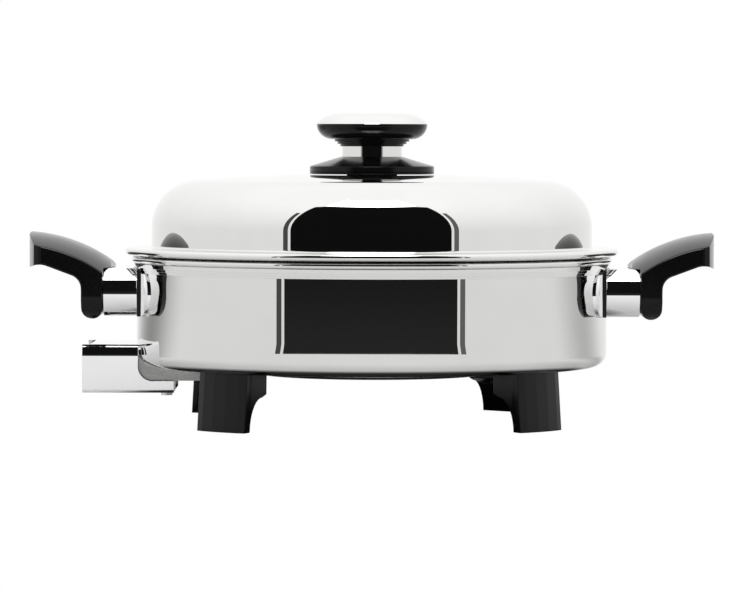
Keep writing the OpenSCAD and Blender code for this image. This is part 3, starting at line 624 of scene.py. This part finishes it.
class SKILLET_OT_knob(bpy.types.Operator):
    """Turns the knob's base, collar, stepped grip and polished cap"""

    bl_idname = "skillet.knob"
    bl_label = "Build Knob"

    def execute(self, context):
        values = context.scene.skillet_knob
        phenolic = black_phenolic()
        coat(self.base(values), phenolic)
        coat(self.collar(), polished_steel())
        coat(self.grip(values), phenolic)
        coat(self.cap(values), cap_steel())
        return {"FINISHED"}

    def base(self, values):
        low, high, radius = BASE_LOW.z, BASE_HIGH.z, BASE_HIGH.x
        groove, half_groove = low + values.groove_height, 0.0002
        edge = low + values.base_edge
        shoulder_in, shoulder_up = 0.0012, 0.0006
        bore, collar, lip = BUSHING_HIGH.x, COLLAR_HIGH.x, 0.0003
        outline = [
            (bore, low, 0.0),
            (radius, low, 0.0006),
            (radius, groove - half_groove, 0.0),
            (radius - values.groove, groove, 0.0),
            (radius, groove + half_groove, 0.0),
            (radius, edge, 0.0007),
            (radius - shoulder_in, edge + shoulder_up, 0.0004),
            (collar + lip, high, 0.0005),
            (collar, high, 0.0),
            (collar, COLLAR_LOW.z, 0.0),
            (collar - COLLAR_SHEET, COLLAR_LOW.z, 0.0),
            (collar - COLLAR_SHEET, high, 0.0),
            (bore, high, 0.0),
        ]
        piece = turned("knob_base_moulding", outline, "lid", KNOB_STEPS)
        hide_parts("knob_base")
        return piece

    def collar(self):
        outer = COLLAR_HIGH.x
        inner = outer - COLLAR_SHEET
        edge = 0.0004
        outline = [
            (inner, COLLAR_LOW.z, 0.0),
            (outer, COLLAR_LOW.z, 0.0),
            (outer, COLLAR_HIGH.z, edge),
            (inner, COLLAR_HIGH.z, edge),
        ]
        piece = turned("knob_collar_tube", outline, "lid", KNOB_STEPS)
        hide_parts("knob_collar")
        return piece

    def grip(self, values):
        low, high, radius = GRIP_LOW.z, GRIP_HIGH.z, GRIP_HIGH.x
        bore = values.grip_bore
        # The hollow is deeper than the vent's stroke, so the pushed grip clears the collar
        roof = COLLAR_HIGH.z + 0.0065
        edge = 0.0003
        outline = [(bore, low, 0.0)]
        for i in range(values.steps):
            r = bore + values.step_width * (i + 0.5)
            outline.append((r, low + values.step_height * i, edge))
            outline.append((r, low + values.step_height * (i + 1), 0.0))
        bowl = bore + values.step_width * (values.steps + 0.3)
        shelf = low + values.step_height * values.steps
        outline += [
            *self.quarter(bowl, high, radius - bowl, high - shelf, -90.0, -4.0),
            (radius, high, edge),
            (values.stem_radius, high, 0.0),
            (values.stem_radius, roof, 0.0),
            (bore, roof, 0.0),
        ]
        piece = turned("knob_grip_moulding", outline, "grip", KNOB_STEPS)
        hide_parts("knob_grip")
        return piece

    def quarter(self, r, z, wide, tall, start, end, steps=20):
        """Points on a quarter of an ellipse between two angles, from its centre at r and z."""
        points = []
        for i in range(steps + 1):
            angle = math.radians(start + (end - start) * i / steps)
            points.append((r + wide * math.cos(angle), z + tall * math.sin(angle), 0.0))
        return points

    def cap(self, values):
        low, high, radius = CAP_LOW.z, CAP_HIGH.z, CAP_HIGH.x
        sheet = values.cap_sheet
        end, inner_end = values.cap_end, values.cap_end + 5.0
        tall = (high - low) / (1.0 - math.sin(math.radians(end)))
        stretch = 1.45
        wide = tall * stretch
        middle, centre = radius - wide * math.cos(math.radians(end)), high - tall
        outline = [
            (0.0, high, 0.0),
            *self.quarter(middle, centre, wide, tall, 90.0, end),
            (radius - sheet, low, 0.0),
            *self.quarter(middle, centre, wide - sheet, tall - sheet, inner_end, 90.0),
            (0.0, high - sheet, 0.0),
        ]
        piece = turned("knob_cap_dome", outline, "grip", KNOB_STEPS)
        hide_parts("knob_cap")
        return piece


# ---- Handles, feet and inlet ----


class SKILLET_OT_handles(bpy.types.Operator):
    """Rounds the two handles, ferrules and brackets"""

    bl_idname = "skillet.handles"
    bl_label = "Build Handles"

    def execute(self, context):
        for side in ("left", "right"):
            handle = softened("handle_" + side, HANDLE_EDGE, angle=30.0, crease=HANDLE_CREASE)
            coat(handle, black_phenolic())
            coat(softened("ferrule_" + side, SHEET_EDGE, 2), chrome_trim())
            coat(softened("bracket_" + side, PRESSED_EDGE), chrome_trim())
        return {"FINISHED"}


class SKILLET_OT_feet(bpy.types.Operator):
    """Rounds the four moulded feet"""

    bl_idname = "skillet.feet"
    bl_label = "Build Feet"

    def execute(self, context):
        feet = [n for n in NODES if n.startswith("foot_") and n.endswith(("left", "right"))]
        for node in sorted(feet):
            coat(softened(node, FOOT_EDGE, 2, sharp=5.0), black_phenolic())
        return {"FINISHED"}


class SKILLET_OT_inlet(bpy.types.Operator):
    """Rounds the probe guard and the terminal box"""

    bl_idname = "skillet.inlet"
    bl_label = "Build Inlet"

    def execute(self, context):
        guard = softened("probe_guard", FOLDED_EDGE, 2)
        self.lean(guard)
        coat(guard, chrome_trim())
        coat(softened("terminal_box", FOLDED_EDGE, 2), satin_steel())
        return {"FINISHED"}

    def lean(self, guard):
        """Draws the guard's cheeks in a little towards the foot and rounds them over at the top."""
        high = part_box("probe_guard")[1]
        crown, cuts, slope, rounding, sharp = 0.008, 8, 0.055, 0.018, 12.0
        bm = bmesh.new()
        bm.from_mesh(guard.data)
        for i in range(1, cuts + 1):
            bmesh.ops.bisect_plane(
                bm, geom=bm.verts[:] + bm.edges[:] + bm.faces[:], dist=MERGE,
                plane_co=(0.0, 0.0, high.z - crown * i / cuts), plane_no=(0.0, 0.0, 1.0))
        for vert in bm.verts:
            drop = high.z - vert.co.z
            inward = slope * drop + 0.5 * max(0.0, crown - drop) ** 2 / rounding
            vert.co.y *= 1.0 - inward / high.y
        bm.to_mesh(guard.data)
        bm.free()
        guard.data.shade_smooth()
        guard.data.set_sharp_from_angle(angle=math.radians(sharp))


class SKILLET_OT_fittings(bpy.types.Operator):
    """Gives the frame's own small pieces their finishes"""

    bl_idname = "skillet.fittings"
    bl_label = "Finish Fittings"

    def execute(self, context):
        brass = context.scene.skillet_finish.brass
        finishes = {
            "brushed": satin_steel(),
            "chrome_trim": chrome_trim(),
            "polished_steel": polished_steel(),
            "phenolic": black_phenolic(),
            "ceramic": plain_solid("glazed_ceramic", (0.72, 0.69, 0.62), 0.35, 220.0),
            "sheath": satin_metal("dark_sheath", (0.16, 0.15, 0.15), 0.42, (6.0, 6.0, 6.0)),
            "brass": polished_metal("turned_brass", brass, 0.18),
            "zinc_screws": satin_metal("zinc_plate", (0.62, 0.62, 0.60), 0.24, (8.0, 8.0, 8.0)),
            "seal_rubber": plain_solid("fibre_seal", (0.03, 0.03, 0.03), 0.75),
            "red_silicone": plain_solid("silicone_disc", (0.36, 0.03, 0.02), 0.5),
        }
        slots = {s["node"]: s["material_slot"] for s in frame["record"]["subparts"]}
        for name, node in NODES.items():
            node.data.materials.clear()
            node.data.materials.append(finishes[slots[name]])
        return {"FINISHED"}


# ---- Studio ----


class SKILLET_OT_stage(bpy.types.Operator):
    """Sets up the white tent, the dark opening on the camera's side and the camera"""

    bl_idname = "skillet.stage"
    bl_label = "Build Stage"

    def execute(self, context):
        values = context.scene.skillet_studio
        self.world(context, values)
        self.floor()
        self.tent(values)
        self.camera(context, values)
        context.scene.view_settings.view_transform = "Standard"
        context.scene.view_settings.look = "None"
        return {"FINISHED"}

    def world(self, context, values):
        world = bpy.data.worlds.new("white_tent")
        world.use_nodes = True
        background = world.node_tree.nodes["Background"]
        background.inputs["Color"].default_value = (1.0, 1.0, 1.0, 1.0)
        background.inputs["Strength"].default_value = values.white
        context.scene.world = world

    def floor(self):
        """A white table that the camera sees past, with painted shade in dim sectors at the back
        and a painted shadow under the skillet.
        """
        bm = bmesh.new()
        bmesh.ops.create_circle(bm, cap_ends=True, segments=96, radius=3.0)
        floor = self.card("floor", bm)
        material, nodes, shader = new_material("white_table")
        shader.inputs["Roughness"].default_value = 0.9
        shader.inputs["Specular IOR Level"].default_value = 0.0
        # Painted shade: the table's colour is darkened in a dim sector at each back side
        left = self.painted_shade_sector(material, nodes, angle=-130.0, width=34.0, dark=0.36)
        right = self.painted_shade_sector(material, nodes, angle=119.0, width=28.0, dark=0.62)
        both = maths(material, nodes, "MULTIPLY", left, right)
        # Painted shadow: the table's colour turns dark under the skillet's body
        reach = distance_from(material, nodes, object_coords(nodes))
        under = mapped(material, nodes, reach, (0.145, 0.165), (0.07, 1.0))
        shaded = maths(material, nodes, "MULTIPLY", both, under)
        join(material, shaded, shader.inputs["Base Color"])
        floor.data.materials.append(material)
        floor.visible_diffuse = True
        floor.visible_shadow = True

    def painted_shade_sector(self, material, nodes, angle, width, dark):
        """Painted shade: the table's colour around the skillet, darkened in a sector at an angle.
        """
        split = nodes.new("ShaderNodeSeparateXYZ")
        join(material, object_coords(nodes), split.inputs[0])
        front = maths(material, nodes, "MULTIPLY", split.outputs["Y"], -1.0)
        around = maths(material, nodes, "ARCTAN2", split.outputs["X"], front)
        offset = maths(material, nodes, "SUBTRACT", around, math.radians(angle))
        away = maths(material, nodes, "ABSOLUTE", offset)
        span = (0.0, math.radians(width))
        return mapped(material, nodes, away, span, (dark, 0.97), smooth=True)

    def tent(self, values):
        """The tent's opening, seams, lamp and brighter sky, which only reflections show."""
        left, right, gap = values.opening_left, values.opening_right, values.seam_gap
        high, width, near = values.opening_height, values.seam_width, values.opening_near
        opening = self.curtain(values, left, right, (0.0, high), values.opening_corner, near)
        self.glow(self.card("dark_opening", opening), 0.024, 0.006, (0.0, 0.12))
        seams = (
            ("left_seam", left - gap - width, left - gap, 0.08),
            ("right_seam", right + gap, right + gap + width, 0.15),
        )
        for name, start, end, glow in seams:
            seam = self.curtain(values, start, end, (0.0, values.seam_height), 0.0, near)
            self.glow(self.card(name, seam), glow)
        inset, lamp_low, lamp_high = 6.0, 0.03, 2.0
        heights = (high + lamp_low, high + lamp_high)
        lamp = self.curtain(values, left + inset, right - inset, heights)
        self.glow(self.card("lamp", lamp), values.lamp_glow)
        bm = bmesh.new()
        bmesh.ops.create_uvsphere(bm, u_segments=48, v_segments=24, radius=4.0)
        low = [v for v in bm.verts if v.co.z < -0.01]
        bmesh.ops.delete(bm, geom=low, context="VERTS")
        self.glow(self.card("sky", bm), 1.0, values.sky_glow, (0.2, 3.4))

    def curtain(self, values, start, end, heights, corner=0.0, near=0.0):
        """A curved card around the skillet, with slanted upper corners and a strip on the table."""
        bm = bmesh.new()
        radius, steps = values.opening_radius, 48
        columns = []
        for i in range(steps + 1):
            angle = math.radians(start + (end - start) * i / steps)
            edge = radius * math.radians(end - start) * min(i, steps - i) / steps
            out = Vector((math.sin(angle), -math.cos(angle), 0.0))
            top = heights[1] - max(0.0, corner - edge)
            column = [out * radius + Vector((0.0, 0.0, z)) for z in (heights[0], top)]
            if near:
                column.insert(0, out * near + Vector((0.0, 0.0, 0.0005)))
            columns.append([bm.verts.new(place) for place in column])
        for one, two in zip(columns, columns[1:]):
            for a, b, c, d in zip(one, two, two[1:], one[1:]):
                bm.faces.new((a, b, c, d))
        return bm

    def card(self, name, bm):
        """A stage piece that only reflections show."""
        mesh = bpy.data.meshes.new(name)
        bm.to_mesh(mesh)
        bm.free()
        card = bpy.data.objects.new(name, mesh)
        bpy.context.scene.collection.objects.link(card)
        card.visible_camera = False
        card.visible_diffuse = False
        card.visible_shadow = False
        card.visible_transmission = False
        return card

    def glow(self, card, low, high=None, span=(0.0, 1.0)):
        """Makes a card glow, from low on the table to high above where both are given."""
        material = bpy.data.materials.new(card.name + "_glow")
        material.use_nodes = True
        nodes = material.node_tree.nodes
        nodes.clear()
        emission = nodes.new("ShaderNodeEmission")
        emission.inputs["Color"].default_value = (1.0, 1.0, 1.0, 1.0)
        emission.inputs["Strength"].default_value = low
        if high:
            split = nodes.new("ShaderNodeSeparateXYZ")
            join(material, object_coords(nodes), split.inputs[0])
            strength = mapped(material, nodes, split.outputs["Z"], span, (low, high))
            join(material, strength, emission.inputs["Strength"])
        output = nodes.new("ShaderNodeOutputMaterial")
        join(material, emission.outputs[0], output.inputs["Surface"])
        card.data.materials.append(material)

    def camera(self, context, values):
        data = bpy.data.cameras.new("camera")
        data.lens = values.lens
        data.sensor_width = SENSOR
        data.clip_end = 100.0
        camera = bpy.data.objects.new("camera", data)
        camera.location = (values.offset, -values.distance, values.height)
        camera.rotation_euler = (
            math.radians(90.0 - values.pitch), math.radians(values.roll), 0.0)
        context.scene.collection.objects.link(camera)
        context.scene.camera = camera


# ---- Panel and registration ----


class SKILLET_PT_panel(bpy.types.Panel):
    """Lists the skillet's pieces and its values"""

    bl_idname = "SKILLET_PT_panel"
    bl_label = "Electric Skillet"
    bl_space_type = "VIEW_3D"
    bl_region_type = "UI"
    bl_category = "Skillet"

    def draw(self, context):
        column = self.layout.column(align=True)
        for operator in OPERATORS:
            column.operator(operator.bl_idname)
        for name, _ in GROUPS:
            values = getattr(context.scene, name)
            box = self.layout.box()
            for key in values.__annotations__:
                box.prop(values, key)


GROUPS = (
    ("skillet_pan", SkilletPanValues),
    ("skillet_lid", SkilletLidValues),
    ("skillet_knob", SkilletKnobValues),
    ("skillet_finish", SkilletFinishValues),
    ("skillet_studio", SkilletStudioValues),
)

OPERATORS = (
    SKILLET_OT_fittings,
    SKILLET_OT_pan,
    SKILLET_OT_lid,
    SKILLET_OT_knob,
    SKILLET_OT_handles,
    SKILLET_OT_feet,
    SKILLET_OT_inlet,
    SKILLET_OT_stage,
)


def register():
    for _, group in GROUPS:
        bpy.utils.register_class(group)
    for operator in OPERATORS:
        bpy.utils.register_class(operator)
    bpy.utils.register_class(SKILLET_PT_panel)
    for name, group in GROUPS:
        setattr(bpy.types.Scene, name, PointerProperty(type=group))


def unregister():
    for name, _ in GROUPS:
        delattr(bpy.types.Scene, name)
    bpy.utils.unregister_class(SKILLET_PT_panel)
    for operator in reversed(OPERATORS):
        bpy.utils.unregister_class(operator)
    for _, group in reversed(GROUPS):
        bpy.utils.unregister_class(group)


def main():
    register()
    bpy.ops.skillet.fittings()
    bpy.ops.skillet.pan()
    bpy.ops.skillet.lid()
    bpy.ops.skillet.knob()
    bpy.ops.skillet.handles()
    bpy.ops.skillet.feet()
    bpy.ops.skillet.inlet()
    bpy.ops.skillet.stage()


if __name__ == "__main__":
    main()
